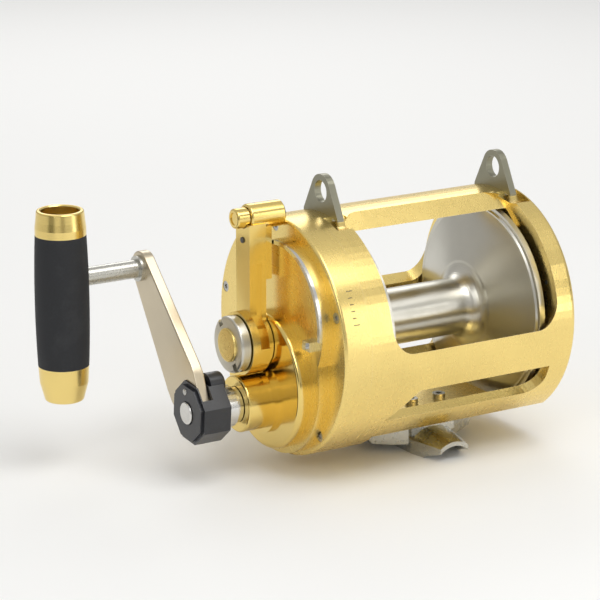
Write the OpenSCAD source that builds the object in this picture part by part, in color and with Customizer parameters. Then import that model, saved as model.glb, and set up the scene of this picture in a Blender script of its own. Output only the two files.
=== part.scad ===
// Two-speed lever-drag trolling reel.
// X runs along the spool axis with the crank at -X, the line leaves at -Y, +Z is up.
// The origin lies on the axis of the rod that the foot's saddle sits on.
// Pairs [y, z] are places in the side view, measured from the spool axis.

/* [Frame] */
// Outside diameter of the frame and the side plates
frame_d = 130; // [128:1:132]
// Thickness of the frame's wall
frame_wall = 6; // [5.8:0.1:6.2]
// Clear length of the line windows
window_len = 106; // [102:1:108]
// Corner radius of the upper windows
window_corner = 13; // [8:1:16]
// Length of the skirt of the crank-side plate
skirt_len = 16.4; // [16:0.2:17]

/* [Spool] */
// Outside diameter of the spool's flanges
flange_d = 114; // [108:1:114]
// Diameter of the spool's arbor
arbor_d = 31.2; // [30:0.4:36]

/* [Drive] */
// Distance from the spool axis to the crank axis
gear_spacing = 33; // [33:1:33]
// Teeth of the high-speed pinion
high_pinion_teeth = 17; // [16:1:18]
// Teeth of the low-speed pinion
low_pinion_teeth = 28; // [26:1:29]

/* [Crank] */
// Length of the crank arm between its axes
arm_len = 86; // [82:1:90]
// Lean of the crank arm back from the vertical
arm_lean = 40; // [34:1:46]
// Length of the grip
grip_len = 104.3; // [98:0.1:108]
// Diameter of the grip's sleeve
grip_d = 29; // [28:0.2:31]

/* [Foot] */
// Diameter of the rod that the saddle fits
rod_d = 26; // [24:1:27]
// Distance between the two clamp studs
stud_spacing = 54; // [50:1:56]
// Diameter of the clamp stud holes
stud_hole_d = 6.4; // [6:0.2:7]

/* [Hidden] */
$fn = 96;

eps = 0.5;
frame_r = frame_d / 2;
bore_r = frame_r - frame_wall;
run = 0.05;
gap = 0.4;

// Height of the spool axis over the rod axis
rod_r = rod_d / 2;
saddle_depth = 64;
axis_z = saddle_depth + rod_r;

// Places along the spool axis
window_x = window_len / 2;
ring_x = -window_x - 13.4;
face_x = ring_x - skirt_len;
far_x = window_x + 12.3;
far_seat_x = window_x + 7.3;
plateau_x = face_x - 5.7;
housing_x = plateau_x - 7;
spool_x = 50;
drum_x = -53.5;
lining_x = -55.5;
drive_x = [-60, -56.5];
bridge_x = [ring_x - 3.1, ring_x - 0.1];
high_x = [-83, -79.4];
low_x = [-78.4, -74.4];

// The plate inside the frame's bottom, between the flanges, and the foot's seat under it
base_under = -54.6;
base_top = -46;
base_x = [-42, 38];
seat_half = 27.8;

// The crank axis, just in front of the vertical through the spool axis
crank_at = [-1.7, -sqrt(gear_spacing * gear_spacing - 1.7 * 1.7)];
gear_module = 1;
tooth_sum = 2 * gear_spacing / gear_module;
boss_x = -112.2;
boss_r = 15.3;
hub_x = [-141.5, -124];
arm_x = [-139, -133];

// The crank arm, leaning back
arm_dir = [sin(arm_lean), cos(arm_lean)];
spindle_at = crank_at + arm_len * arm_dir;
grip_x = -185.5;
grip_low = -65.9;
grip_top_cap_len = 13.3;
grip_bottom_cap_len = 19.3;

// The drag lever and the preset knob
head_r = 68;
lever_x = [-106, housing_x - gap];
knob_x = [-115.5, -110];

function spot(r, a) = [-r * cos(a), r * sin(a)];
function arc(c, r, a0, a1, n) = [for (i = [0:n]) let (a = a0 + (a1 - a0) * i / n)
    [c[0] + r * cos(a), c[1] + r * sin(a)]];

// Children are drawn in the side view: local X is Y, local Y is Z, local Z is X
module side_view(x, at = [0, 0]) translate([x, at[0], axis_z + at[1]]) rotate([90, 0, 90]) children();
module disc(x, r, at = [0, 0]) side_view(x[0], at) cylinder(h = x[1] - x[0], r = r);
module tube(x, outer, inner, at = [0, 0]) difference() {
    disc(x, outer, at);
    disc([x[0] - eps, x[1] + eps], inner, at);
}
// A turned piece: points are [radius, x]
module turned(points, at = [0, 0]) side_view(0, at) rotate_extrude() polygon(points);
module at_angles(angles, r) for (a = angles)
    side_view(0) translate([spot(r, a)[0], spot(r, a)[1], 0]) children();

// A cap screw whose head ends at x and whose shank runs towards dir
module screw(x, at, head_r, head_len, shank_r, len, dir = 1)
    side_view(x, at) scale([1, 1, dir]) difference() {
        union() {
            cylinder(h = head_len, r = head_r);
            translate([0, 0, head_len]) cylinder(h = len, r = shank_r);
        }
        translate([0, 0, -eps]) cylinder(h = head_len * 0.6 + eps, r = head_r * 0.5, $fn = 6);
    }

module rounded_window(half_x, half_y, r) difference() {
    square([2 * half_x, 2 * half_y], center = true);
    for (sx = [-1, 1], sy = [-1, 1]) translate([sx * (half_x - r), sy * (half_y - r)]) difference() {
        translate([sx > 0 ? 0 : -r - eps, sy > 0 ? 0 : -r - eps]) square(r + eps);
        circle(r);
    }
}
// Children are an outline in the window's own plane, cut through the wall that faces angle a
module wall_cut(a) translate([0, 0, axis_z]) rotate([-a, 0, 0]) rotate([90, 0, 0])
    translate([0, 0, bore_r * 0.4]) linear_extrude(frame_r) children();
function half_height(half) = frame_r * sin(half);
module wall_window(a, half, r) wall_cut(a) rounded_window(window_x, half_height(half), r);
// The top bar's front face slopes forward and down
module front_of_top_bar() side_view(-frame_r) linear_extrude(2 * frame_r)
    polygon([[-0.8, 70.9], [-25.7, 48.5], [-25.7, -9], [-90, -9], [-90, 70.9]]);
// The lower front window is slanted at the crank's end and widely rounded at the other
low_window_half = 8.2;
module low_front_window() wall_cut(-28.4) let (h = half_height(low_window_half))
    polygon(concat([[-50.7, -h], [-34, h], [50.7, h]], arc([38.7, 12 - h], 12, 360, 270, 8)));

// The underside of the frame is a shallow keel, rounded under the flanges and flat to each side
keel_r = 60.2;
keel_arc_half = 19.4;
keel_flat_end = [frame_r, -44.3];
module keel_cut(x) side_view(x[0]) linear_extrude(x[1] - x[0]) polygon(concat(
    arc([0, 0], keel_r, 270 - keel_arc_half, 270 + keel_arc_half, 10),
    [keel_flat_end, [frame_r, -2 * frame_r], [-frame_r, -2 * frame_r],
        [-keel_flat_end[0], keel_flat_end[1]]]));

lug_x = [-56, 56];
lug_half = 2;
lug_tang = 12;
lug_root_z = 60.6;
lug_pin_z = 62.2;
lug_pin_y = 7;
lug_pin_r = 1.1;
plate_screw_angles = [for (i = [0:4]) 23 + 72 * i];
plate_screw_r = 60;
far_screw_r = 57.5;
thread_r = 1.25;
hole_clearance = 0.12;
foot_screw_at = [9, 16];
foot_screw_r = 2;
foot_hole_r = foot_screw_r + hole_clearance;
crank_bore_r = 58.2;
far_bore_r = 54;
far_seat_r = 61;
far_bore_x = 51.5;
module at_foot_screws(z) for (x = [-1, 1], y = [-1, 1])
    translate([x * foot_screw_at[0], y * foot_screw_at[1], axis_z + z]) children();
module lug_pin_set(x, r) for (y = [-1, 1])
    disc([x - 6, x + 6], r, [y * lug_pin_y, lug_pin_z], $fn = 24);

module frame() color("gold") difference() {
    union() {
        disc([ring_x, -window_x + 3], frame_r);
        difference() {
            turned(concat([[0, -window_x], [frame_r, -window_x]],
                arc([frame_r - 3, far_x - 3], 3, 0, 90, 8), [[0, far_x]]));
            keel_cut([-window_x + 3, far_x + eps]);
        }
    }
    disc([ring_x - eps, -window_x], crank_bore_r);
    difference() {
        disc([-window_x - eps, far_bore_x], bore_r);
        side_view(base_x[0]) translate([-frame_r, -frame_r, 0])
            cube([2 * frame_r, base_top + frame_r, base_x[1] - base_x[0]]);
    }
    disc([far_bore_x - eps, far_x], far_bore_r);
    disc([far_seat_x, far_x + eps], far_seat_r);
    translate([-38, -seat_half, 0]) cube([76, 2 * seat_half, axis_z + base_under]);
    intersection() {
        wall_window(41.5, 41.5, window_corner);
        front_of_top_bar();
    }
    low_front_window();
    wall_window(144.7, 32.7, window_corner);
    wall_window(201.8, 14.8, 6);
    for (x = lug_x) {
        side_view(x - lug_half) translate([-lug_tang, lug_root_z, 0]) cube([2 * lug_tang, 8, 2 * lug_half]);
        disc([x - 6.5, x + 6.5], 12, [-19.5, 71.5], $fn = 48);
        lug_pin_set(x, lug_pin_r + hole_clearance);
    }
    at_angles(plate_screw_angles, plate_screw_r) translate([0, 0, ring_x - eps])
        cylinder(h = 7.5, r = thread_r + hole_clearance, $fn = 24);
    at_angles(plate_screw_angles, far_screw_r) translate([0, 0, far_bore_x])
        cylinder(h = 14, r = thread_r + hole_clearance, $fn = 24);
    at_foot_screws(base_under - eps) cylinder(h = 12, r = foot_hole_r, $fn = 24);
}

// The lugs stand in slots in both rings and are pinned through
lug_eye_z = 76.2;
lug_eye_r = 6;
module harness_lugs() color("dimgray") for (x = lug_x) difference() {
    union() {
        difference() {
            side_view(x - lug_half) linear_extrude(2 * lug_half) hull() {
                translate([0, lug_eye_z]) circle(9.3, $fn = 32);
                translate([-17, 61.5]) square([34, 2.5]);
            }
            disc([x - lug_half - eps, x + lug_half + eps], frame_r);
        }
        side_view(x - lug_half) translate([-lug_tang, lug_root_z, 0]) cube([2 * lug_tang, 6, 2 * lug_half]);
    }
    disc([x - 4, x + 4], lug_eye_r, [0, lug_eye_z]);
    lug_pin_set(x, lug_pin_r + hole_clearance);
}
module lug_pins() color("silver") for (x = lug_x) lug_pin_set(x, lug_pin_r);

// The stainless foot: a block under the frame, a saddle along the rod and an ear on each side
saddle_half = 45;
saddle_wide = 14;
saddle_tip = 9;
block_half = 24;
ear_end = 33.7;
saddle_low = 5;
module reel_foot() color("silver") difference() {
    union() {
        translate([-saddle_wide, -block_half, axis_z - 62])
            cube([2 * saddle_wide, 2 * block_half, 62 + base_under]);
        intersection() {
            for (s = [-1, 1]) translate([0, s * 18, 0]) rotate([-90 * s, 0, 0])
                cylinder(h = saddle_half - 18, r1 = 20, r2 = 15.4);
            saddle_plan();
        }
        intersection() {
            translate([0, 18.5, 0]) rotate([90, 0, 0]) cylinder(h = 37, r = 20);
            saddle_plan();
        }
        intersection() {
            translate([0, 21, axis_z]) rotate([90, 0, 0]) linear_extrude(42) for (s = [0, 1]) mirror([s, 0])
                polygon([[10, base_under], [17, -56], [24, -60], [ear_end - 1, -61.5], [ear_end, -64],
                    [ear_end - 1.7, -66.5], [22, -67.5], [13, -67.5], [10, -62]]);
            translate([0, 0, saddle_low]) linear_extrude(30)
                polygon([[-37, -10], [-14, -21], [14, -21], [37, -10],
                    [37, 10], [14, 21], [-14, 21], [-37, 10]]);
        }
    }
    translate([0, saddle_half + eps, 0]) rotate([90, 0, 0])
        cylinder(h = 2 * saddle_half + 2 * eps, r = rod_r);
    for (s = [-1, 1]) translate([s * stud_spacing / 2, 0, 0]) cylinder(h = 40, r = stud_hole_d / 2);
    at_foot_screws(base_under - 6) cylinder(h = 8, r = foot_hole_r, $fn = 24);
}
module saddle_plan() translate([0, 0, saddle_low]) linear_extrude(axis_z + base_under - saddle_low)
    polygon([[-saddle_wide, -block_half], [-saddle_tip, -saddle_half], [saddle_tip, -saddle_half],
        [saddle_wide, -block_half], [saddle_wide, block_half], [saddle_tip, saddle_half],
        [-saddle_tip, saddle_half], [-saddle_wide, block_half]]);
module foot_screws() color("silver") at_foot_screws(base_top) difference() {
    union() {
        cylinder(h = 3, r = 3.6);
        translate([0, 0, -14]) cylinder(h = 14, r = foot_screw_r, $fn = 24);
    }
    translate([0, 0, 1.2]) cylinder(h = 2, r = 1.9, $fn = 6);
}

// The crank-side plate: a skirt, a flat rim with the screws, and a raised plateau
plateau_top_at = [-10, 14];
plateau_top_r = 41.2;
plateau_low_at = [-2.2, -16.6];
plateau_low_r = 46;
floor_x = plateau_x + 4;
module crank_side_plate() color("gold") difference() {
    union() {
        turned(concat([[0, face_x]], arc([frame_r - 1.5, face_x + 1.5], 1.5, -90, 0, 6),
            [[frame_r, ring_x], [0, ring_x]]));
        disc([plateau_x, face_x + 1], plateau_top_r, plateau_top_at);
        disc([plateau_x, face_x + 1], plateau_low_r, plateau_low_at);
    }
    difference() {
        union() {
            disc([face_x + 3, ring_x + eps], frame_r - 4);
            disc([floor_x, ring_x], plateau_low_r - 3, plateau_low_at);
        }
        at_angles(plate_screw_angles, plate_screw_r) translate([0, 0, face_x])
            cylinder(h = bridge_x[0] - face_x, r = 4.2);
    }
    disc([plateau_x - eps, floor_x + eps], 12);
    disc([plateau_x - eps, floor_x + eps], 9, crank_at);
    at_angles(plate_screw_angles, plate_screw_r) {
        translate([0, 0, face_x - eps]) cylinder(h = 20, r = 1.6, $fn = 24);
        translate([0, 0, face_x - eps]) cylinder(h = 2 + eps, r = 3);
    }
    for (p = housing_screw_at) disc([plateau_x - eps, floor_x + eps], 1.5, p);
}
module crank_side_screws() color("dimgray")
    for (a = plate_screw_angles) screw(face_x + 0.2, spot(plate_screw_r, a), 2.9, 1.8, thread_r, 20.6);

// The plate that carries the inner end of the gear shaft and the dogs
dog_angles = [75, 255];
dog_r = 51;
module bridge_plate() color("silver") difference() {
    disc(bridge_x, frame_r - 4.2);
    disc([bridge_x[0] - eps, bridge_x[1] + eps], 12);
    disc([bridge_x[0] - eps, bridge_x[1] + eps], 8, crank_at);
    at_angles(plate_screw_angles, plate_screw_r) translate([0, 0, bridge_x[0] - eps])
        cylinder(h = 5, r = 1.6);
    at_angles(dog_angles, dog_r) translate([0, 0, bridge_x[0] - eps]) cylinder(h = 5, r = 1.6);
}

// The gear housing: a round raised cover with the crank's boss
housing_at = [-2.5, -22];
housing_r = 37.4;
housing_screw_at = [for (a = [20, 160, 215, 325]) housing_at + spot(32, a)];
module gear_housing() color("gold") difference() {
    union() {
        turned(concat([[0, housing_x]], arc([housing_r - 2, housing_x + 2], 2, -90, 0, 6),
            [[housing_r, plateau_x], [0, plateau_x]]), housing_at);
        disc([housing_x - 2.6, housing_x + 1], 18, crank_at);
        turned(concat([[0, boss_x]], arc([boss_r - 1, boss_x + 1], 1, -90, 0, 4),
            [[boss_r, housing_x], [0, housing_x]]), crank_at);
    }
    disc([housing_x - eps, plateau_x + eps], 12.5);
    disc([boss_x - eps, plateau_x + eps], 6, crank_at);
    disc([boss_x + 2, boss_x + 7.5], 9, crank_at);
    disc([boss_x + 7, plateau_x + eps], 8, crank_at);
    for (p = housing_screw_at) disc([plateau_x - 4.5, plateau_x + eps], 1.5, p);
}
module housing_screws() color("silver")
    for (p = housing_screw_at) screw(floor_x + 1.1, p, 2.8, 1.1, 1.4, 8, -1);

// The bright arc beside the lever's track, and the stop at its forward end
module quadrant_ring() color("silver") side_view(plateau_x - 1.8) intersection() {
    translate([plateau_top_at[0], plateau_top_at[1], 0]) difference() {
        cylinder(h = 1.8, r = plateau_top_r);
        translate([0, 0, -eps]) cylinder(h = 3, r = plateau_top_r - 2.2);
    }
    linear_extrude(5) polygon([[20, 90], [-90, 90], [-90, 10], [-30, 10], [10, 40]]);
}
module lever_stop() color("silver") {
    side_view(plateau_x - 3.5) translate([-44, 3.5, 0]) cube([7, 5, 3.5]);
    disc([plateau_x - 5, plateau_x - 3.5], 1.6, [-40.5, 6]);
}

// The lever turns on the spool axis
head_cyl_r = 7;
lever_half = 7;
button_r = 5.4;
module drag_lever() color("gold") difference() {
    union() {
        disc([knob_x[1] + 0.6, -98.6], 17);
        disc([-98.6, lever_x[1]], 14.5);
        side_view(lever_x[0]) translate([-lever_half, 0, 0])
            cube([2 * lever_half, head_r - 3, lever_x[1] - lever_x[0]]);
        side_view(lever_x[1] - eps) translate([-4.5, 34, 0]) cube([9, head_r - 38, 5 + eps]);
        turned(concat([[0, -104]], arc([head_cyl_r - 1, -103], 1, -90, 0, 4),
            arc([head_cyl_r - 1, face_x - 1.4], 1, 0, 90, 4), [[0, face_x - gap]]), [0, head_r]);
    }
    disc([-120, -90], 4.5 + run);
    disc([-97.4, -90], 8.5);
    side_view(-105) translate([-lever_half - eps, 8, 0]) cube([3 + eps, 36, 6.6]);
    side_view(-105) translate([-20, 0, 0]) cube([13.4, 16, 6.6]);
    disc([lever_x[0] - eps, -99.9], 1.7, [0, 56]);
    disc([-112, -101.4], button_r + 0.35, [0, head_r]);
    disc([-105, -94], 3, [0, head_r]);
}
module lever_screw() color("dimgray") disc([lever_x[0] - 0.6, -100], 1.55, [0, 56]);
module lever_button() color("gold") difference() {
    union() {
        turned(concat([[0, -111.5]], arc([button_r - 1, -110.5], 1, -90, 0, 4),
            [[button_r, -104.4], [0, -104.4]]), [0, head_r]);
        disc([-107, -99.5], 2.95, [0, head_r]);
    }
    disc([-112, -110.9], 3.4, [0, head_r]);
}
// The small springs are sleeves of the same size
module lever_button_spring() color("silver") tube([-99.4, -94.1], 2.4, 1.6, [0, head_r]);

// Inside the lever: its cam face and the fixed seat that the cam climbs on
module drag_cam() color("silver") difference() {
    union() {
        disc([housing_x + 0.3, -92.2], 12);
        disc([-97.3, housing_x + 0.3], 8.4);
        for (a = [0, 120, 240]) side_view(-92.4) rotate(a) translate([7, -2, 0]) cube([4, 4, 1.4]);
    }
    disc([-100, -80], 4.5 + run);
}
module cam_seat() color("silver") tube([-90.6, plateau_x - 0.1], 12, 6.8);

// The preset knob and its cap turn on the end of the shaft
module preset_knob() color("silver") difference() {
    turned(concat([[0, knob_x[0]]], arc([14, knob_x[0] + 1.3], 1.3, -90, 0, 4),
        [[15.3, knob_x[1]], [0, knob_x[1]]]));
    disc([knob_x[0] - eps, knob_x[1] - 2], 9.2);
    disc([knob_x[0] - eps, knob_x[1] + eps], 4.5 + run);
    for (a = [55, 235]) side_view(knob_x[0] - eps) rotate(a) translate([11, -2, 0]) cube([6, 4, 3.5]);
}
module preset_cap() color("gold") turned(concat([[0, knob_x[0] - 1.2]],
    arc([8.2, knob_x[0] - 0.2], 1, -90, 0, 4), [[9.2, knob_x[1] - 3.8], [0, knob_x[1] - 3.8]]));

// The spool, its bearings and the drag parts
flange_r = flange_d / 2;
arbor_r = arbor_d / 2;
flare_r = 10;
flare_x = 26;
function spool_side() = concat(
    arc([arbor_r + flare_r, flare_x], flare_r, 180, 96, 10),
    [[flange_r - 3.5, 45.5], [flange_r - 2.6, 45.5], [flange_r - 2, 46.6],
        [flange_r, 46.6], [flange_r, spool_x]]);
function mirrored(points) = [for (i = [len(points) - 1:-1:0]) [points[i][0], -points[i][1]]];
module spool() color("silver") difference() {
    union() {
        turned(concat([[0, -spool_x]], mirrored(spool_side()), spool_side(), [[0, spool_x]]));
        disc([drum_x, -spool_x + 1], 44);
    }
    disc([-60, 60], 7);
    disc([42, 48], 11);
    disc([47, 60], 12);
    disc([-48, -42], 11);
    disc([-60, -47], 14);
}
module spool_bearings() color("silver") for (x = [-48, 42]) tube([x, x + 6], 11, 6 + run);
module drag_lining() color("dimgray") tube([lining_x, drum_x], 43, 28);
module spool_shaft() color("silver") {
    disc([-52, 59.4], 6);
    disc([-112, -52], 4.5);
}
module drag_springs() color("silver") for (i = [0:4])
    tube([-55.3 + 1.25 * i, -54.3 + 1.25 * i], 11.5, 6 + run);
module clicker_wheel() color("silver") difference() {
    side_view(spool_x) linear_extrude(2.2) gear_outline(24, 28 / 24);
    disc([spool_x - eps, spool_x + 3], 12);
}

// A spur gear's outline with straight-sided teeth
module gear_outline(teeth, m) {
    pitch_r = teeth * m / 2;
    step = 360 / teeth;
    polygon([for (i = [0:teeth - 1], k = [0:3])
        let (a = step * (i + [-0.3, -0.11, 0.11, 0.3][k]), r = pitch_r + m * [-1.2, 0.8, 0.8, -1.2][k])
        [r * cos(a), r * sin(a)]]);
}
// The gear line is the direction from the crank axis to the spool axis
gear_line = atan2(-crank_at[1], -crank_at[0]);
module gear(x, teeth, hole_r, at, turn) difference() {
    side_view(x[0], at) rotate(turn) linear_extrude(x[1] - x[0]) gear_outline(teeth, gear_module);
    disc([x[0] - eps, x[1] + eps], hole_r, at);
}
high_gear_teeth = tooth_sum - high_pinion_teeth;
low_gear_teeth = tooth_sum - low_pinion_teeth;
sleeve_r = 6.2;
module high_pinion() color("silver") gear(high_x, high_pinion_teeth, sleeve_r, [0, 0], gear_line + 180);
module low_pinion() color("silver") gear(low_x, low_pinion_teeth, sleeve_r, [0, 0], gear_line + 180);
module high_gear() color("goldenrod")
    gear(high_x, high_gear_teeth, 7, crank_at, gear_line + 180 / high_gear_teeth);
module low_gear() color("goldenrod")
    gear(low_x, low_gear_teeth, 7 + run, crank_at, gear_line + 180 / low_gear_teeth);

// The drag disc that the pinions turn, with the saw teeth that the dogs catch
saw_teeth = 24;
module drive_plate() color("silver") difference() {
    union() {
        side_view(drive_x[0]) linear_extrude(drive_x[1] - drive_x[0])
            polygon([for (i = [0:saw_teeth - 1], k = [0, 1])
                let (a = 360 / saw_teeth * (i + 0.97 * k), r = 43.5 + 2.5 * k) [r * cos(a), r * sin(a)]]);
        disc([-63, drive_x[0] + 1], 10.5);
        disc([floor_x - 3.6, drive_x[0] + 1], sleeve_r);
    }
    disc([-100, -50], 4.5 + run);
}
module pinion_bearing() color("silver") tube([plateau_x, floor_x - 0.1], 12, sleeve_r + run);

module dog(a, turn) color("silver") difference() {
    side_view(drive_x[0]) linear_extrude(3.5) hull() {
        translate(spot(dog_r, a)) circle(3.4);
        translate(spot(47.6, a - turn)) circle(1.2);
    }
    disc([-62, -55], 1.6 + run, spot(dog_r, a));
}
module front_dog() dog(dog_angles[0], 11);
module rear_dog() dog(dog_angles[1], 11);
module dog_pins() color("silver") for (a = dog_angles)
    disc([bridge_x[0], drive_x[1] + 0.8], 1.6, spot(dog_r, a));
module dog_springs() color("silver") for (a = dog_angles)
    side_view(bridge_x[1]) rotate(-a) translate([-55.6, -11, 0]) cube([0.6, 16, 9]);

// The crank shaft, its driving head and the shift rod inside it
shaft_r = 5;
head_well_r = 6.35;
well_floor = -132.2;
module gear_shaft() color("silver") difference() {
    union() {
        disc([-131, bridge_x[1]], shaft_r, crank_at);
        disc([arm_x[0], -131], 9, crank_at);
        disc([floor_x + 0.3, -72.5], 7, crank_at);
    }
    disc([-140, -72], 2.3, crank_at);
    disc([-140, well_floor], head_well_r, crank_at);
    side_view(-83.6, crank_at) translate([-8, -1.6, 0]) cube([16, 3.2, 9.6]);
}
module gear_shaft_bearings() color("silver") {
    tube(bridge_x, 8, shaft_r + run, crank_at);
    tube([boss_x + 2, boss_x + 7], 9, shaft_r + run, crank_at);
}
button_x = -142.6;
module shift_rod() color("silver") {
    disc([button_x + 1, -79], 2, crank_at);
    side_view(-82.7, crank_at) translate([-6.6, -1.3, 0]) cube([13.2, 2.6, 3]);
    turned(concat([[0, button_x]], arc([5.4, button_x + 0.6], 0.6, -90, 0, 4),
        [[6, button_x + 2], [0, button_x + 2]]), crank_at);
}
module shift_spring() color("silver") tube([button_x + 2.1, well_floor - 0.1], 4.2, 3, crank_at);

// The crank: collar, arm, hub cover, nut and catch
module crank_collar() color("silver") difference() {
    turned([[0, -123.7], [10, -123.7], [11.3, -122.6], [11.3, -116.4], [9.8, -115.4],
        [9.8, boss_x - gap], [0, boss_x - gap]], crank_at);
    disc([-130, -110], shaft_r, crank_at);
}
arm_root_half = 16.6;
arm_tip_r = 9.3;
arm_root = 17;
arm_round_r = 12.5;
module along_arm(x) side_view(x, crank_at) rotate(90 - arm_lean) children();
module crank_arm() color("tan") difference() {
    along_arm(arm_x[0]) linear_extrude(arm_x[1] - arm_x[0]) {
        circle(arm_round_r);
        polygon([[0, -arm_round_r], [arm_root - 3, -arm_root_half], [arm_root + 3, -arm_root_half],
            [arm_len, -arm_tip_r], [arm_len, arm_tip_r], [arm_root + 3, arm_root_half],
            [arm_root - 3, arm_root_half], [0, arm_round_r]]);
        translate([arm_len, 0]) circle(arm_tip_r);
    }
    disc([-145, -110], 9, crank_at);
    disc([-145, -110], 4, spindle_at);
}
nut_x = [-131, -126.5];
module crank_nut() color("silver") difference() {
    side_view(nut_x[0], crank_at) cylinder(h = nut_x[1] - nut_x[0], r = 9.4, $fn = 6);
    disc([-140, -120], shaft_r, crank_at);
}
catch_x = arm_x[1] + 2;
catch_dir = 85;
catch_at = crank_at + spot(14, catch_dir);
hub_r = 17.4;
module crank_hub() color("dimgray") difference() {
    union() {
        side_view(hub_x[0] + 1.6, crank_at) rotate(22.5 - arm_lean)
            cylinder(h = hub_x[1] - hub_x[0] - 1.6, r = hub_r, $fn = 8);
        side_view(hub_x[0], crank_at) rotate(22.5 - arm_lean) cylinder(h = 3, r = 15.4, $fn = 8);
    }
    disc([hub_x[0] - eps, arm_x[0]], 6.4, crank_at);
    disc([arm_x[0] - 0.1, hub_x[1] + eps], arm_round_r + 0.2, crank_at);
    along_arm(arm_x[0] - 0.1) translate([-1, -20, 0]) cube([40, 40, arm_x[1] - arm_x[0] + 0.2]);
    disc([catch_x - 1.5, -120], 7, catch_at);
}
module release_catch() color("dimgray") difference() {
    turned(concat([[0, catch_x], [6.6, catch_x], [6.6, hub_x[1]]],
        arc([5, hub_x[1] + 0.6], 1.6, 0, 90, 4), [[0, hub_x[1] + 2.2]]), catch_at);
    disc([-135, -120], arm_round_r + 0.4, crank_at);
}

// The grip turns on the spindle
core_r = grip_d / 2 - 3;
grip_z = [grip_low, grip_low + grip_len];
module upright(z0) translate([grip_x, spindle_at[0], axis_z + spindle_at[1] + z0]) children();
module grip_spindle() color("silver") {
    disc([grip_x - 5.2, arm_x[0] - 2], 5, spindle_at);
    disc([arm_x[0] - 2, arm_x[0]], 7, spindle_at);
    disc([arm_x[0], arm_x[1]], 4, spindle_at);
}
module spindle_bearings() color("silver") for (x = [grip_x - 5.5, grip_x + 3.5])
    tube([x, x + 4], 8, 5 + run, spindle_at);
module grip_core() color("goldenrod") difference() {
    upright(grip_z[0] + grip_bottom_cap_len - 3) cylinder(h = sleeve_len + 6, r = core_r);
    disc([grip_x - 5.5, grip_x + 40], 8, spindle_at);
    upright(grip_z[0]) cylinder(h = 50, r = 7);
    upright(10) cylinder(h = 60, r = 7);
}
function barrel(h, r) = [for (i = [0:12]) [r - 0.9 * pow(2 * i / 12 - 1, 2), h * i / 12]];
sleeve_len = grip_len - grip_top_cap_len - grip_bottom_cap_len;
module grip_sleeve() color("dimgray") difference() {
    upright(grip_z[0] + grip_bottom_cap_len) rotate_extrude() polygon(concat([[core_r, 0]],
        barrel(sleeve_len, grip_d / 2), [[core_r, sleeve_len]]));
    disc([grip_x, grip_x + 40], 7.2, spindle_at);
}
cap_r = grip_d / 2 - 0.9;
module grip_top_cap() color("gold") upright(grip_z[1] - grip_top_cap_len) rotate_extrude() polygon(concat(
    [[core_r, 3], [core_r, 0], [cap_r, 0], [cap_r, 4], [cap_r - 0.5, 8]],
    arc([cap_r - 1.9, grip_top_cap_len - 1], 1, 0, 90, 4),
    [[10.9, grip_top_cap_len], [10.4, 12.6], [10.4, 3]]));
module grip_bottom_cap() color("gold") upright(grip_z[0]) rotate_extrude() polygon(concat(
    [[0, 0]], arc([9.2, 1.5], 1.5, -90, 0, 4), [[cap_r - 0.6, 10], [cap_r, grip_bottom_cap_len],
    [core_r, grip_bottom_cap_len], [core_r, grip_bottom_cap_len - 3], [0, grip_bottom_cap_len - 3]]));

// The far side plate with the clicker
clicker_at = [0, 24];
module far_side_plate() color("gold") difference() {
    union() {
        turned(concat([[0, far_seat_x], [far_seat_r - 0.1, far_seat_x], [far_seat_r - 0.1, far_x - 0.6]],
            [for (i = [0:6]) [56 * (1 - i / 6), far_x - 0.6 + 3 * (1 - pow(1 - i / 6, 2))]]));
        disc([54, far_seat_x + 1], 10.5);
    }
    keel_cut([window_x - 3, far_x + 6]);
    disc([50, far_seat_x + 0.6], 6 + run);
    at_angles(plate_screw_angles, far_screw_r) {
        translate([0, 0, far_seat_x - eps]) cylinder(h = 8, r = 1.6, $fn = 24);
        translate([0, 0, far_x - 2.4]) cylinder(h = 4, r = 3);
    }
    side_view(far_seat_x - eps) translate([-2.6, clicker_at[1] - 6.8, 0]) cube([5.2, 15.8, 12]);
}
module far_side_screws() color("dimgray")
    for (a = plate_screw_angles) screw(far_x - 0.6, spot(far_screw_r, a), 2.9, 1.8, thread_r, 10, -1);
module clicker_button() color("gold") {
    turned(concat([[0, far_x + 3], [8, far_x + 3], [8, far_x + 5]],
        arc([6.5, far_x + 5.5], 1.5, 0, 90, 4), [[0, far_x + 7]]), clicker_at);
    side_view(53, clicker_at) translate([-2.2, -2.2, 0]) cube([4.4, 4.4, far_x + 3 - 53]);
}
module clicker_pawl() color("silver") side_view(spool_x + 0.6, clicker_at) linear_extrude(2.4)
    polygon([[-2.2, 2.2], [-2.2, -1], [-0.5, -4.6], [0.5, -4.6], [2.2, -1], [2.2, 2.2]]);
module clicker_spring() color("silver") side_view(far_seat_x - 2.5, clicker_at) {
    translate([2.6, -8, 0]) cube([0.5, 16, 2.5]);
    translate([-3.1, -8, 0]) cube([0.5, 16, 2.5]);
}

frame();
bridge_plate();
crank_side_plate();
crank_side_screws();
gear_housing();
housing_screws();
quadrant_ring();
lever_stop();
cam_seat();
pinion_bearing();
harness_lugs();
lug_pins();
reel_foot();
foot_screws();
far_side_plate();
far_side_screws();
clicker_button();
clicker_pawl();
clicker_spring();
clicker_wheel();
spool();
spool_bearings();
drag_lining();
spool_shaft();
drag_springs();
drive_plate();
high_pinion();
low_pinion();
high_gear();
low_gear();
gear_shaft();
gear_shaft_bearings();
shift_rod();
shift_spring();
front_dog();
rear_dog();
dog_pins();
dog_springs();
drag_lever();
drag_cam();
lever_button();
lever_button_spring();
lever_screw();
preset_knob();
preset_cap();
crank_collar();
crank_hub();
crank_arm();
crank_nut();
release_catch();
grip_spindle();
spindle_bearings();
grip_core();
grip_sleeve();
grip_top_cap();
grip_bottom_cap();
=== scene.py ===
"""Looks of the trolling reel: materials, fine pieces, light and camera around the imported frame."""
import math

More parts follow.
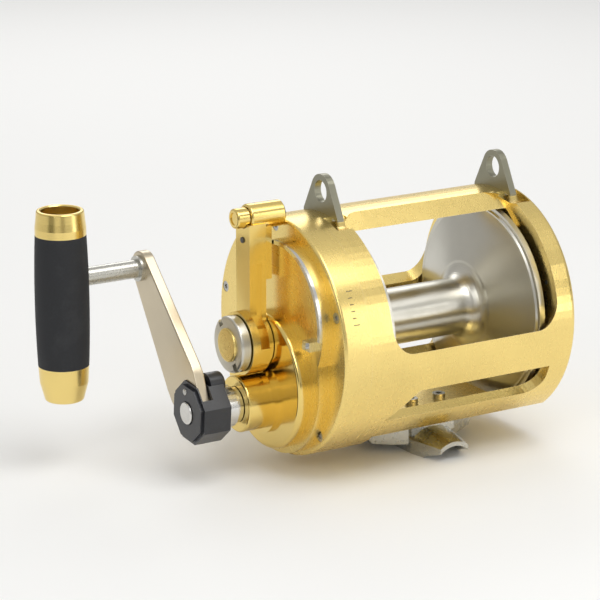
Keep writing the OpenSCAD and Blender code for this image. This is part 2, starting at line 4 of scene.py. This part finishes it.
import bpy
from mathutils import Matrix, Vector


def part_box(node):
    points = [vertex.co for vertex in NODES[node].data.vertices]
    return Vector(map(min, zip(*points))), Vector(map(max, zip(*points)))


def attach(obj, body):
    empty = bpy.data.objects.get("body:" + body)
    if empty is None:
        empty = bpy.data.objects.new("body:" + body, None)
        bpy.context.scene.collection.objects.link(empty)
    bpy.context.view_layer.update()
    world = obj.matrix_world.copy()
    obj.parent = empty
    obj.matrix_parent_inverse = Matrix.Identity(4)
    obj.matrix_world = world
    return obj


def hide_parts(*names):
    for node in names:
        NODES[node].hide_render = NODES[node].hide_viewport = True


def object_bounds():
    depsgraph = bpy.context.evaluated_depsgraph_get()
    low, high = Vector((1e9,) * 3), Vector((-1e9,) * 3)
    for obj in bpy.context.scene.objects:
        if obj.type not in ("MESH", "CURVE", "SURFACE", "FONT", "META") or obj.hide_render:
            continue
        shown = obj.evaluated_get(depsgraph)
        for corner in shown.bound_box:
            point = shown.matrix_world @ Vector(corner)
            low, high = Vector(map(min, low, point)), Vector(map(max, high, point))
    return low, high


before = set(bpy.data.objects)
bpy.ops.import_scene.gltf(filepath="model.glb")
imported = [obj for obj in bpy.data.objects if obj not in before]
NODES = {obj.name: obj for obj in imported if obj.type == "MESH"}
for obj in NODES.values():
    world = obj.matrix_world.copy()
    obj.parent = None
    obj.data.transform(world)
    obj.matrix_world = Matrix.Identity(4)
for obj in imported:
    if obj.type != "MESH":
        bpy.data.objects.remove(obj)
cad_lo, cad_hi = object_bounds()

MM = 0.001

# The spool axis and the crank axis run along X at these heights
knob_lo, knob_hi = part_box("preset_knob")
SPOOL_AXIS = (knob_lo + knob_hi) / 2
collar_lo, collar_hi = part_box("crank_collar")
CRANK_AXIS = (collar_lo + collar_hi) / 2
grip_lo, grip_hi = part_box("grip_sleeve")
GRIP_AXIS = (grip_lo + grip_hi) / 2


# ---------------------------------------------------------------- camera

CAMERA_AT = Vector((-0.7867, -1.1680, 0.4858))
CAMERA_LOOKS_AT = Vector((-0.07075, 0.0, 0.09503))
FOCAL_LENGTH = 159.87
SENSOR_WIDTH = 36


def make_camera():
    data = bpy.data.cameras.new("camera")
    data.lens = FOCAL_LENGTH
    data.sensor_width = SENSOR_WIDTH
    data.clip_start = 0.05
    data.clip_end = 50
    camera = bpy.data.objects.new("camera", data)
    bpy.context.scene.collection.objects.link(camera)
    camera.location = CAMERA_AT
    camera.rotation_euler = (CAMERA_LOOKS_AT - CAMERA_AT).to_track_quat("-Z", "Y").to_euler()
    bpy.context.scene.camera = camera


make_camera()


# ---------------------------------------------------------------- node helpers

class Graph:
    """A material's node tree with short ways to add nodes and links."""

    def __init__(self, name):
        self.material = bpy.data.materials.new(name)
        self.material.use_nodes = True
        self.tree = self.material.node_tree
        self.shader = self.tree.nodes["Principled BSDF"]

    def add(self, kind, inputs=None, **settings):
        node = self.tree.nodes.new(kind)
        for key, value in settings.items():
            setattr(node, key, value)
        for key, value in (inputs or {}).items():
            self.put(node.inputs[key], value)
        return node

    def put(self, socket, value):
        if isinstance(value, bpy.types.NodeSocket):
            self.tree.links.new(value, socket)
        else:
            socket.default_value = value

    def math(self, operation, a, b=0.0, clamp=False):
        node = self.add("ShaderNodeMath", {0: a, 1: b}, operation=operation, use_clamp=clamp)
        return node.outputs[0]

    def noise(self, vector, scale, detail=2.0, rough=0.5):
        node = self.add("ShaderNodeTexNoise", {"Vector": vector, "Scale": scale, "Detail": detail,
                                               "Roughness": rough})
        return node.outputs["Fac"]

    def spread(self, value, low, high, to_low=0.0, to_high=1.0):
        node = self.add("ShaderNodeMapRange", {"Value": value, "From Min": low, "From Max": high,
                                               "To Min": to_low, "To Max": to_high})
        return node.outputs[0]

    def blend(self, factor, a, b):
        node = self.add("ShaderNodeMix", data_type="RGBA")
        self.put(node.inputs["Factor"], factor)
        self.put(node.inputs[6], a)
        self.put(node.inputs[7], b)
        return node.outputs[2]

    def place(self):
        return self.add("ShaderNodeTexCoord").outputs["Object"]

    def ring_place(self, centre, axis):
        """Coordinates along the axis and out from it, so that noise in them makes turning marks."""
        x, y, z = self.add("ShaderNodeSeparateXYZ", {0: self.place()}).outputs
        along = (x, y, z)["XYZ".index(axis)]
        across = [(s, c) for s, c, k in zip((x, y, z), centre, "XYZ") if k != axis]
        squares = [self.math("POWER", self.math("SUBTRACT", s, c), 2.0) for s, c in across]
        out = self.math("SQRT", self.math("ADD", squares[0], squares[1]))
        return self.add("ShaderNodeCombineXYZ", {0: along, 1: out, 2: 0.0}).outputs[0]

    def stretched(self, scale):
        return self.add("ShaderNodeMapping", {"Vector": self.place(), "Scale": scale}).outputs[0]

    def edge_mask(self, radius, low=0.02, high=0.25):
        """White on outward and inward edges, from how far a rounded normal leans off the true one."""
        rounded = self.add("ShaderNodeBevel", {"Radius": radius}, samples=4).outputs[0]
        true = self.add("ShaderNodeNewGeometry").outputs["Normal"]
        lean = self.add("ShaderNodeVectorMath", {0: rounded, 1: true}, operation="DOT_PRODUCT")
        return self.spread(self.math("SUBTRACT", 1.0, lean.outputs["Value"]), low, high)


def rgba(colour, k=1.0):
    return tuple(min(c * k, 1.0) for c in colour) + (1.0,)


# ---------------------------------------------------------------- materials

def metal(name, colour, rough, centre=SPOOL_AXIS, axis="X", grain=(1.0, 1.0, 1.0), ringed=True,
          grain_scale=2600.0, bump=0.03, tone=0.05, wear=0.3, anisotropy=0.0):
    """Metal with fine machining marks, slow colour drift, small scratches and brighter edges."""
    g = Graph(name)
    place = g.ring_place(centre, axis) if ringed else g.stretched(grain)
    marks = g.noise(place, grain_scale, 3.0, 0.6)
    wide_marks = g.noise(place, grain_scale * 0.12, 2.0)
    drift = g.noise(g.place(), 38.0, 2.0)
    smudge = g.noise(g.place(), 130.0, 4.0, 0.65)
    scratches = g.noise(g.stretched((900.0, 60.0, 900.0)), 1.0, 5.0, 0.8)
    edge = g.math("MULTIPLY", g.edge_mask(0.5 * MM), g.spread(smudge, 0.3, 0.65, 0.35, 1.0))
    base = g.blend(g.spread(drift, 0.3, 0.7), rgba(colour, 1.0 - tone), rgba(colour, 1.0 + tone * 0.5))
    base = g.blend(g.math("MULTIPLY", g.spread(marks, 0.35, 0.7), tone), base, rgba(colour, 0.72))
    pale = tuple(0.45 * c + 0.5 for c in colour)
    g.put(g.shader.inputs["Base Color"], g.blend(g.math("MULTIPLY", edge, wear), base, rgba(pale)))
    dull = g.math("ADD", g.spread(smudge, 0.25, 0.8, rough * 0.93, rough * 1.1),
                  g.spread(wide_marks, 0.3, 0.7, -0.01, 0.015))
    dull = g.math("ADD", dull, g.spread(scratches, 0.70, 0.85, 0.0, 0.06), clamp=True)
    g.put(g.shader.inputs["Roughness"], dull)
    g.shader.inputs["Metallic"].default_value = 1.0
    g.shader.inputs["Anisotropic"].default_value = anisotropy
    height = g.math("ADD", marks, g.math("MULTIPLY", wide_marks, 0.5))
    bumped = g.add("ShaderNodeBump", {"Height": height, "Strength": bump, "Distance": 0.02 * MM})
    g.put(g.shader.inputs["Normal"], bumped.outputs[0])
    return g.material


def dull_black(name, colour, rough, cell=900.0, bump=0.5, deep=0.06, coat=0.0, wear=0.35):
    """Black rubber, foam or plastic with a fine skin, faint dust and paler edges."""
    g = Graph(name)
    skin = g.noise(g.place(), cell, 4.0, 0.7)
    pores = g.add("ShaderNodeTexVoronoi", {"Vector": g.place(), "Scale": cell * 1.6}).outputs["Distance"]
    dust = g.noise(g.place(), 55.0, 5.0, 0.7)
    edge = g.math("MULTIPLY", g.edge_mask(0.6 * MM), g.spread(dust, 0.3, 0.7, 0.2, 1.0))
    base = g.blend(g.spread(skin, 0.3, 0.7), rgba(colour, 0.7), rgba(colour, 1.35))
    base = g.blend(g.spread(dust, 0.5, 0.8, 0.0, 0.12), base, rgba(tuple(c + 0.12 for c in colour)))
    base = g.blend(g.math("MULTIPLY", edge, wear), base, rgba(tuple(c + 0.16 for c in colour)))
    g.put(g.shader.inputs["Base Color"], base)
    g.put(g.shader.inputs["Roughness"], g.spread(skin, 0.2, 0.8, rough - 0.08, rough + 0.1))
    g.shader.inputs["Coat Weight"].default_value = coat
    g.shader.inputs["Coat Roughness"].default_value = 0.18
    height = g.math("ADD", skin, g.math("MULTIPLY", pores, 0.6))
    bumped = g.add("ShaderNodeBump", {"Height": height, "Strength": bump, "Distance": deep * MM})
    g.put(g.shader.inputs["Normal"], bumped.outputs[0])
    return g.material


def carbon_lining(name):
    """Woven carbon: two crossing sets of bands."""
    g = Graph(name)
    bands = [g.add("ShaderNodeTexWave", {"Vector": g.place(), "Scale": 260.0, "Distortion": 0.4},
                   bands_direction=d).outputs["Fac"] for d in ("Y", "Z")]
    weave = g.math("MULTIPLY", bands[0], bands[1])
    g.put(g.shader.inputs["Base Color"], g.blend(weave, rgba((0.02, 0.02, 0.022)), rgba((0.09, 0.09, 0.095))))
    g.put(g.shader.inputs["Roughness"], g.spread(weave, 0.0, 1.0, 0.65, 0.4))
    bumped = g.add("ShaderNodeBump", {"Height": weave, "Strength": 0.4, "Distance": 0.05 * MM})
    g.put(g.shader.inputs["Normal"], bumped.outputs[0])
    return g.material


GOLD = (0.90, 0.69, 0.25)
GOLD_DEEP = (0.88, 0.66, 0.22)
SILVER = (0.64, 0.62, 0.55)
CHAMPAGNE = (0.62, 0.54, 0.40)

gold_turned = metal("gold_turned", GOLD, 0.27)
gold_about_grip = metal("gold_about_grip", GOLD, 0.24, GRIP_AXIS, "Z")
gold_polished = metal("gold_polished", GOLD_DEEP, 0.15, CRANK_AXIS, bump=0.03, wear=0.3)
gold_lever = metal("gold_lever", GOLD_DEEP, 0.2, ringed=False, grain=(1.0, 1.0, 0.08), bump=0.05)
silver_satin = metal("silver_satin", SILVER, 0.3, anisotropy=0.3)
silver_polished = metal("silver_polished", (0.72, 0.71, 0.68), 0.18, CRANK_AXIS)
champagne = metal("champagne", CHAMPAGNE, 0.3, ringed=False, grain=(1.0, 0.35, 0.3), grain_scale=3600.0)
stainless = metal("stainless", (0.56, 0.55, 0.50), 0.27, ringed=False, grain=(1.0, 0.05, 1.0))
lug_steel = metal("lug_steel", (0.30, 0.29, 0.22), 0.36, ringed=False, grain=(1.0, 1.0, 0.06))
screw_steel = metal("screw_steel", (0.50, 0.49, 0.46), 0.28, ringed=False)
dark_steel = metal("dark_steel", (0.12, 0.12, 0.125), 0.38)
gear_steel = metal("gear_steel", (0.55, 0.54, 0.52), 0.32)
gear_bronze = metal("gear_bronze", (0.72, 0.47, 0.21), 0.33, CRANK_AXIS)
lining = carbon_lining("carbon_lining")
grip_black = dull_black("grip_black", (0.014, 0.015, 0.018), 0.7)
hub_black = dull_black("hub_black", (0.014, 0.015, 0.019), 0.36, cell=1600.0, bump=0.15, coat=0.25)

LOOKS = {
    gold_turned: "frame crank_side_plate far_side_plate clicker_button preset_cap",
    gold_about_grip: "grip_top_cap grip_bottom_cap",
    gold_polished: "gear_housing lever_button",
    gold_lever: "drag_lever",
    silver_satin: "spool preset_knob",
    silver_polished: "quadrant_ring lever_stop crank_collar shift_rod",
    champagne: "crank_arm grip_core",
    stainless: "reel_foot foot_screws grip_spindle lug_pins",
    screw_steel: "crank_side_screws far_side_screws housing_screws",
    lug_steel: "harness_lugs",
    dark_steel: "lever_screw",
    gear_bronze: "high_gear low_gear",
    lining: "drag_lining",
    grip_black: "grip_sleeve",
    hub_black: "crank_hub release_catch",
}
looks = {name: material for material, names in LOOKS.items() for name in names.split()}

# How far the sharp edges of the flat-sided nodes are eased
EASED = {"crank_hub": 2.0, "crank_arm": 0.8}
SEAM = 0.004
SHARP = math.radians(32)
SAME_PLANE = math.radians(0.4)


def dress(name, node):
    """Gives a CAD node its material. Flat-sided nodes get eased edges, the rest keep their normals."""
    mesh = node.data
    mesh.materials.clear()
    mesh.materials.append(looks.get(name, gear_steel))
    if name not in EASED:
        return
    if "custom_normal" in mesh.attributes:
        mesh.attributes.remove(mesh.attributes["custom_normal"])
    for polygon in mesh.polygons:
        polygon.use_smooth = True
    weld = node.modifiers.new("weld", "WELD")
    weld.merge_threshold = SEAM * MM
    flat = node.modifiers.new("flat", "DECIMATE")
    flat.decimate_type = "DISSOLVE"
    flat.angle_limit = SAME_PLANE
    ease = node.modifiers.new("ease", "BEVEL")
    ease.width = EASED[name] * MM
    ease.segments = 3
    ease.limit_method = "ANGLE"
    ease.angle_limit = SHARP
    ease.harden_normals = True
    ease.use_clamp_overlap = True


for name, node in NODES.items():
    dress(name, node)


# ---------------------------------------------------------------- fine pieces

def new_piece(name, verts, faces, material, body, smooth=True):
    mesh = bpy.data.meshes.new(name)
    mesh.from_pydata(verts, [], faces)
    mesh.update()
    for polygon in mesh.polygons:
        polygon.use_smooth = smooth
    mesh.materials.append(material)
    obj = bpy.data.objects.new(name, mesh)
    bpy.context.scene.collection.objects.link(obj)
    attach(obj, body)
    return obj


def swept(path, radius, sides=10):
    """Vertices and faces of a closed round wire along a list of points."""
    verts, faces = [], []
    for i, point in enumerate(path):
        ahead = path[min(i + 1, len(path) - 1)] - path[max(i - 1, 0)]
        ahead.normalize()
        across = ahead.orthogonal() if i == 0 else (across - ahead * across.dot(ahead))
        across.normalize()
        other = ahead.cross(across)
        for k in range(sides):
            turn = math.tau * k / sides
            verts.append(point + (across * math.cos(turn) + other * math.sin(turn)) * radius)
    for i in range(len(path) - 1):
        for k in range(sides):
            a, b = i * sides + k, i * sides + (k + 1) % sides
            faces.append((a, b, b + sides, a + sides))
    faces.append(tuple(reversed(range(sides))))
    faces.append(tuple(range((len(path) - 1) * sides, len(path) * sides)))
    return verts, faces


STEPS_PER_TURN = 16


def coil_spring(node, body, turns, wire):
    """A helix of round wire in the space of a spring's plain sleeve."""
    lo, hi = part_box(node)
    centre = (lo + hi) / 2
    out = (hi.z - lo.z) / 2 - wire
    start, length = lo.x + wire, hi.x - lo.x - 2 * wire
    steps = turns * STEPS_PER_TURN
    path = []
    for i in range(steps + 1):
        turn = math.tau * turns * i / steps
        path.append(Vector((start + length * i / steps, centre.y + out * math.cos(turn),
                            centre.z + out * math.sin(turn))))
    spring = new_piece(node + "_coil", *swept(path, wire), gear_steel, body)
    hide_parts(node)


coil_spring("lever_button_spring", "lever", 5, 0.35 * MM)
coil_spring("shift_spring", "crank", 5, 0.5 * MM)


TICKS = 6
FIRST_TICK = math.radians(18)
TICK_STEP = math.radians(3.2)
LONG_TICK = 3.4 * MM
SHORT_TICK = 2.2 * MM
TICK_HALF_WIDTH = 0.22 * MM
TICK_DEPTH = 0.35 * MM
TICK_FROM_SEAM = 9.5 * MM


def tick_marks():
    """Plain filled marks on the skirt of the crank-side plate, beside the lever's track."""
    lo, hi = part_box("crank_side_plate")
    radius = (hi.y - lo.y) / 2 + 0.04 * MM
    verts, faces = [], []
    half = TICK_HALF_WIDTH / radius
    x0 = hi.x - TICK_FROM_SEAM
    for i in range(TICKS):
        centre = FIRST_TICK + TICK_STEP * i
        length = LONG_TICK if i % (TICKS - 1) == 0 else SHORT_TICK
        for x in (x0, x0 + length):
            for depth in (radius, radius - TICK_DEPTH):
                for side in (-half, half):
                    angle = centre + side
                    verts.append(Vector((x, SPOOL_AXIS.y - depth * math.cos(angle),
                                         SPOOL_AXIS.z + depth * math.sin(angle))))
        n = 8 * i
        faces += [(n, n + 1, n + 5, n + 4), (n + 2, n + 6, n + 7, n + 3), (n, n + 4, n + 6, n + 2),
                  (n + 1, n + 3, n + 7, n + 5), (n, n + 2, n + 3, n + 1), (n + 4, n + 5, n + 7, n + 6)]
    marks = new_piece("drag_tick_marks", verts, faces, tick_ink, "housing", smooth=False)


tick_ink = dull_black("tick_ink", (0.10, 0.075, 0.03), 0.5, bump=0.1)
tick_marks()


def turned_piece(name, profile, at, material, body, sides=40):
    """A piece turned about a line along X: profile is a list of (radius, x) from its axis out and back."""
    verts, faces = [], []
    for radius, x in profile:
        for k in range(sides):
            turn = math.tau * k / sides
            verts.append(Vector((x, at.y + radius * math.cos(turn), at.z + radius * math.sin(turn))))
    rows = len(profile)
    for i in range(rows - 1):
        for k in range(sides):
            a, b = i * sides + k, i * sides + (k + 1) % sides
            faces.append((a, a + sides, b + sides, b))
    faces.append(tuple(range(sides)))
    faces.append(tuple(reversed(range((rows - 1) * sides, rows * sides))))
    piece = new_piece(name, verts, faces, material, body)
    return piece


hub_lo, hub_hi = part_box("crank_hub")
# The small screw in the hub cover's face, above the crank axis
screw_at = CRANK_AXIS + Vector((0, 2.0 * MM, 11.2 * MM))
turned_piece("hub_face_screw", [(1.75 * MM, hub_lo.x + 0.3 * MM), (1.75 * MM, hub_lo.x - 0.25 * MM),
                                (1.45 * MM, hub_lo.x - 0.5 * MM), (0.8 * MM, hub_lo.x - 0.55 * MM)],
             screw_at, screw_steel, "crank")


# ---------------------------------------------------------------- floor and light

def plane(name, size, at, turned=(0.0, 0.0, 0.0)):
    half = size / 2
    mesh = bpy.data.meshes.new(name)
    corners = [(-half, -half, 0), (half, -half, 0), (half, half, 0), (-half, half, 0)]
    mesh.from_pydata(corners, [], [(0, 1, 2, 3)])
    obj = bpy.data.objects.new(name, mesh)
    bpy.context.scene.collection.objects.link(obj)
    obj.location = at
    obj.rotation_euler = turned
    return obj


def flat_colour(name, colour):
    g = Graph(name)
    g.put(g.shader.inputs["Base Color"], rgba(colour))
    g.shader.inputs["Roughness"].default_value = 0.9
    return g.material


FLOOR_SIZE = 40.0
floor = plane("floor", FLOOR_SIZE, (0, 0, cad_lo.z - 0.2 * MM))
floor.data.materials.append(flat_colour("floor_pale", (0.93, 0.93, 0.92)))


def area_light(name, at, size, power):
    data = bpy.data.lights.new(name, "AREA")
    data.shape = "RECTANGLE"
    data.size, data.size_y = size
    data.energy = power
    light = bpy.data.objects.new(name, data)
    bpy.context.scene.collection.objects.link(light)
    light.location = at
    light.rotation_euler = (SPOOL_AXIS - Vector(at)).to_track_quat("-Z", "Y").to_euler()


area_light("key_above", (0.1, -0.6, 1.4), (1.1, 0.8), 9)
area_light("front_left", (-1.5, -0.9, 0.9), (0.5, 1.0), 5)
area_light("front_right", (1.1, -1.5, 0.5), (0.45, 1.1), 5)
area_light("behind", (0.5, 1.3, 0.9), (1.0, 0.6), 4)

# A pale surround that falls to a warm grey low down, so that polished metal has both to mirror
world = bpy.data.worlds.new("studio")
world.use_nodes = True
tree = world.node_tree
direction = tree.nodes.new("ShaderNodeTexCoord").outputs["Generated"]
height = tree.nodes.new("ShaderNodeSeparateXYZ")
tree.links.new(direction, height.inputs[0])
ramp = tree.nodes.new("ShaderNodeValToRGB")
tree.links.new(height.outputs[2], ramp.inputs[0])
ramp.color_ramp.elements[0].position = 0.0
ramp.color_ramp.elements[0].color = (0.80, 0.79, 0.77, 1.0)
ramp.color_ramp.elements[1].position = 0.75
ramp.color_ramp.elements[1].color = (1.0, 0.995, 0.985, 1.0)
background = tree.nodes["Background"]
tree.links.new(ramp.outputs[0], background.inputs["Color"])
background.inputs["Strength"].default_value = 0.62
bpy.context.scene.world = world
bpy.context.scene.view_settings.view_transform = "Standard"


def dark_card(name, at, size, colour):
    """A card outside the camera's view that polished metal mirrors as a dark stretch."""
    towards = (SPOOL_AXIS - Vector(at)).to_track_quat("Z", "Y").to_euler()
    card = plane(name, size, at, towards)
    card.data.materials.append(flat_colour(name, colour))


dark_card("card_left", (-1.1, -0.35, 0.25), 0.55, (0.10, 0.10, 0.06))
dark_card("card_low", (-0.45, -0.95, -0.02), 0.35, (0.14, 0.12, 0.07))
dark_card("card_right", (0.75, -0.75, 0.35), 0.4, (0.20, 0.19, 0.11))
